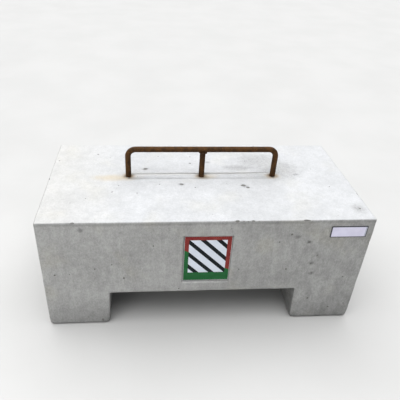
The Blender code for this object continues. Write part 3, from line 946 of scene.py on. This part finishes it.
def bar_object(name, path, radius, sides=BAR_SIDES, closed=False, swell=None):
    """A round bar along a path, as a mesh. swell scales its radius at a point of the path."""
    curve = bpy.data.curves.new(name, "CURVE")
    curve.dimensions = "3D"
    curve.bevel_depth = radius
    curve.bevel_resolution = (sides - 4) // 2
    curve.use_fill_caps = True
    spline = curve.splines.new("POLY")
    spline.points.add(len(path) - 1)
    for point, place in zip(spline.points, path):
        point.co = (*place, 1.0)
        point.radius = swell(place) if swell else 1.0
    spline.use_cyclic_u = closed
    guide = link(name + "_line", curve)
    mesh = finished_mesh(guide)
    bpy.data.objects.remove(guide, do_unlink=True)
    weld(mesh)
    with editing(mesh) as shape:
        bmesh.ops.recalc_face_normals(shape, faces=shape.faces)
    return link(name, mesh)


def roughen(mesh, depth, size):
    """Sink the surface by up to this depth, unevenly, as rust does."""
    mesh.update()
    ways_out = [vertex.normal.copy() for vertex in mesh.vertices]
    for vertex, out in zip(mesh.vertices, ways_out):
        pitting = 0.5 + 0.35 * unevenness(vertex.co, size) + 0.25 * unevenness(vertex.co, size / 3)
        vertex.co -= out * depth * min(1.0, max(0.0, pitting))


def grip_path():
    hook_end = GRIP_HIGH.y
    corners = [
        (LEFT_LEG_X, hook_end, HOOK_Z),
        (LEFT_LEG_X, LEG_Y, HOOK_Z),
        (LEFT_LEG_X, LEG_Y, GRIP_Z),
        (RIGHT_LEG_X, LEG_Y, GRIP_Z),
        (RIGHT_LEG_X, LEG_Y, HOOK_Z),
        (RIGHT_LEG_X, hook_end, HOOK_Z),
    ]
    return even_path(bent_path(corners, (HOOK_BEND, GRIP_BEND, GRIP_BEND, HOOK_BEND)), BAR_STEP)


def post_path():
    corners = [(POST_X, POST_LOW.y, HOOK_Z), (POST_X, LEG_Y, HOOK_Z), (POST_X, LEG_Y, GRIP_Z)]
    return even_path(bent_path(corners, (HOOK_BEND,)), BAR_STEP)


def weld_path():
    """A ring round the top of the post, in the corner under the grip."""
    reach = BAR_RADIUS + WELD_STANDOFF
    height = GRIP_Z - BAR_RADIUS - WELD_DROP
    angles = [math.tau * step / WELD_STEPS for step in range(WELD_STEPS)]
    return [Vector((POST_X + reach * math.cos(a), LEG_Y + reach * math.sin(a), height)) for a in angles]


def weld_swell(place):
    """The bead's ripples, and the blob at its right where the run stopped."""
    angle = math.atan2(place.y - LEG_Y, place.x - POST_X)
    blob = 0.60 * math.exp(-((angle + 0.4) / 0.5) ** 2)
    ripples = 0.10 * math.sin(14 * angle) + 0.12 * math.sin(3 * angle + 1.0)
    return 1.0 + blob + ripples


def make_handle():
    """The grip, its post with the top cut to the grip, and the weld bead between them."""
    steel = rust_finish("handle_rust", *BAR_TONES, orange_from=0.56)
    weld_steel = rust_finish("weld_rust", *WELD_TONES, orange_from=0.60)
    grip = bar_object("handle_grip", grip_path(), BAR_RADIUS)
    post = bar_object("handle_post", post_path(), BAR_RADIUS)
    bead = bar_object("handle_weld", weld_path(), WELD_RADIUS, WELD_SIDES, closed=True, swell=weld_swell)
    grip_space = bar_object("grip_space", grip_path(), BAR_RADIUS + TOUCH_GAP)
    post_space = bar_object("post_space", post_path(), BAR_RADIUS + TOUCH_GAP)
    roughen(bead.data, WELD_PITTING, 0.004)
    boolean(bead, "DIFFERENCE", grip_space)
    boolean(bead, "DIFFERENCE", post_space)
    apply_booleans(bead)
    boolean(post, "DIFFERENCE", grip_space)
    apply_booleans(post, grip_space, post_space)
    for bar in (grip, post):
        roughen(bar.data, BAR_PITTING, 0.009)
    for piece, node, slot, finish in (
        (grip, "lifting_handle", "rusty_steel", steel),
        (post, "handle_centre_post", "rusty_steel", steel),
        (bead, "centre_post_weld", "weld_metal", weld_steel),
    ):
        piece.data.materials.clear()
        piece.data.materials.append(finish)
        shade_round(piece.data, math.radians(45))
        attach(piece, "root")
        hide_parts(node)


# ---------- Print on the front plate ----------

# Width of the coloured frame round the field
FRAME_SIDE = 0.0130
FRAME_TOP = 0.0130
FRAME_BOTTOM = 0.0310

# How far down the frame turns from red to green, at its left and right
SPLIT_LEFT = 0.30
SPLIT_RIGHT = 0.76

# The hatch bars' width and spacing
HATCH_WIDTH = 0.0125
HATCH_PITCH = 0.0335

FIELD_LEFT = FILM_LOW.x + FRAME_SIDE
FIELD_RIGHT = FILM_HIGH.x - FRAME_SIDE
FIELD_BOTTOM = FILM_LOW.z + FRAME_BOTTOM
FIELD_TOP = FILM_HIGH.z - FRAME_TOP
FIELD_MIDDLE = Vector(((FIELD_LEFT + FIELD_RIGHT) / 2, 0, (FIELD_BOTTOM + FIELD_TOP) / 2))
HATCH_WAY = Vector((1, 0, 1)).normalized()

RED, GREEN, WHITE, BLACK = range(4)
INKS = (
    ("print_red", (0.19, 0.024, 0.022), (0.23, 0.040, 0.034)),
    ("print_green", (0.013, 0.098, 0.028), (0.020, 0.125, 0.040)),
    ("print_white", (0.66, 0.70, 0.77), (0.61, 0.65, 0.72)),
    ("print_black", (0.006, 0.008, 0.010), (0.012, 0.015, 0.018)),
)


def split_faces(shape, faces, point, way):
    """Cut these faces by a plane. Returns all the faces that they became."""
    geometry = list({edge for face in faces for edge in face.edges})
    geometry += list({vert for face in faces for vert in face.verts}) + list(faces)
    parts = bmesh.ops.bisect_plane(shape, geom=geometry, dist=1e-7, plane_co=point, plane_no=way)["geom"]
    return [part for part in parts if isinstance(part, bmesh.types.BMFace)]


def colour_change():
    """A point of the line where red turns to green, and the way to its red side."""
    height = FILM_HIGH.z - FILM_LOW.z
    start = Vector((FILM_LOW.x, 0, FILM_HIGH.z - SPLIT_LEFT * height))
    end = Vector((FILM_HIGH.x, 0, FILM_HIGH.z - SPLIT_RIGHT * height))
    return start, (end - start).cross(Vector((0, 1, 0))).normalized()


def cut_print(shape):
    """Cut the film's front along the field's edges, the colour change and the hatch bars."""
    cuts = [((x, 0, 0), (1, 0, 0)) for x in (FIELD_LEFT, FIELD_RIGHT)]
    cuts += [((0, 0, z), (0, 0, 1)) for z in (FIELD_BOTTOM, FIELD_TOP)]
    cuts.append(colour_change())
    reach = math.ceil((FIELD_TOP - FIELD_BOTTOM) / HATCH_PITCH) + 1
    for number in range(-reach, reach + 1):
        for edge in (-HATCH_WIDTH / 2, HATCH_WIDTH / 2):
            cuts.append((FIELD_MIDDLE + HATCH_WAY * (number * HATCH_PITCH + edge), HATCH_WAY))
    front = [face for face in shape.faces if face.normal.y < -0.9]
    for point, way in cuts:
        front = split_faces(shape, front, point, way)


def ink_number(face):
    """Which ink a face of the film has."""
    centre = face.calc_center_median()
    in_field = FIELD_LEFT < centre.x < FIELD_RIGHT and FIELD_BOTTOM < centre.z < FIELD_TOP
    if in_field and face.normal.y < -0.9:
        pitches = (centre - FIELD_MIDDLE).dot(HATCH_WAY) / HATCH_PITCH
        on_bar = abs(pitches - round(pitches)) < HATCH_WIDTH / HATCH_PITCH / 2
        return BLACK if on_bar else WHITE
    point, way = colour_change()
    return RED if (centre - point).dot(way) > 0 else GREEN


def make_print():
    """A red and green frame round a white field with black hatch bars."""
    panel = welded_copy("printed_panel", "emblem_film")
    panel.data.materials.clear()
    for name, colour, faded in INKS:
        panel.data.materials.append(print_finish(name, colour, faded))
    with editing(panel.data) as shape:
        bmesh.ops.dissolve_limit(shape, angle_limit=math.radians(1), verts=shape.verts, edges=shape.edges)
        shape.normal_update()
        cut_print(shape)
        shape.normal_update()
        for face in shape.faces:
            face.material_index = ink_number(face)
    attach(panel, "root")
    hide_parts("emblem_film")


# ---------- CAD nodes that keep their own shape ----------


def finish_carried_nodes():
    """Give each CAD node that no piece replaces its finish."""
    rebar = rust_finish("rebar_rust", *REBAR_TONES, orange_from=0.55)
    spacer = cement_finish()
    foam = foam_finish()
    finishes = {
        "emblem_plate": plate_finish(),
        "emblem_adhesive": foam,
        "label_backing": foam,
        "label_face": label_finish(),
    }
    for name, node in nodes.items():
        if node.hide_render:
            continue
        finish = finishes.get(name) or (spacer if "spacer" in name else rebar)
        for slot in node.material_slots:
            slot.material = finish


# ---------- Floor, light and camera ----------

FLOOR_REACH = 30.0

# A sun as wide as a large soft box, turned off the vertical about X and Y
KEY_STRENGTH = 5.65
KEY_WIDTH = math.radians(90)
KEY_TILT = (math.radians(-6), math.radians(-5), 0)
KEY_COLOUR = (0.99, 0.99, 1.0)

# A round lamp at the left, for the left end of the front
SIDE_POWER = 5.0
SIDE_SIZE = 0.9
SIDE_PLACE = Vector((-1.2, -1.3, 0.9))
SIDE_AIM = Vector((-0.3, LOW.y, 0.2))

# The sky, which turns from one colour to the other up to this height of its unit dome
HORIZON_COLOUR = (0.82, 0.82, 0.815, 1.0)
OVERHEAD_COLOUR = (0.28, 0.29, 0.31, 1.0)
HORIZON_HEIGHT = 0.24


def make_floor():
    mesh = bpy.data.meshes.new("floor")
    with editing(mesh) as shape:
        bmesh.ops.create_grid(shape, x_segments=8, y_segments=8, size=FLOOR_REACH)
    mesh.materials.append(floor_finish())
    link("floor", mesh)


def make_lamps():
    """A broad soft key from above, and a weaker lamp at the left."""
    key = bpy.data.lights.new("key", "SUN")
    key.energy = KEY_STRENGTH
    key.angle = KEY_WIDTH
    key.color = KEY_COLOUR
    link("key", key).rotation_euler = KEY_TILT

    side = bpy.data.lights.new("side", "AREA")
    side.shape = "DISK"
    side.size = SIDE_SIZE
    side.energy = SIDE_POWER
    lamp = link("side", side)
    lamp.location = SIDE_PLACE
    lamp.rotation_euler = (SIDE_AIM - SIDE_PLACE).to_track_quat("-Z", "Y").to_euler()


def make_sky():
    """A sky that is bright at the horizon and dim overhead."""
    world = bpy.data.worlds.new("studio")
    bpy.context.scene.world = world
    world.use_nodes = True
    tree = world.node_tree
    way = tree.nodes.new("ShaderNodeTexCoord").outputs["Generated"]
    split = tree.nodes.new("ShaderNodeSeparateXYZ")
    tree.links.new(way, split.inputs[0])
    height = tree.nodes.new("ShaderNodeMapRange")
    height.interpolation_type = "SMOOTHSTEP"
    height.inputs["From Min"].default_value = 0.0
    height.inputs["From Max"].default_value = HORIZON_HEIGHT
    tree.links.new(split.outputs["Z"], height.inputs["Value"])
    sky = tree.nodes.new("ShaderNodeMix")
    sky.data_type = "RGBA"
    sky.inputs[COLOUR_A].default_value = HORIZON_COLOUR
    sky.inputs[COLOUR_B].default_value = OVERHEAD_COLOUR
    tree.links.new(height.outputs["Result"], sky.inputs["Factor"])
    tree.links.new(sky.outputs[COLOUR_OUT], tree.nodes["Background"].inputs["Color"])


def make_camera():
    camera = bpy.data.cameras.new("camera")
    camera.lens = CAMERA_LENS
    camera.sensor_width = CAMERA_SENSOR
    camera.shift_x, camera.shift_y = CAMERA_SHIFT
    holder = link("camera", camera)
    holder.location = CAMERA_PLACE
    holder.rotation_euler = CAMERA_TURN
    bpy.context.scene.camera = holder


make_camera()
make_concrete()
make_handle()
make_print()
finish_carried_nodes()
make_floor()
make_lamps()
make_sky()
bpy.context.scene.view_settings.view_transform = "Standard"
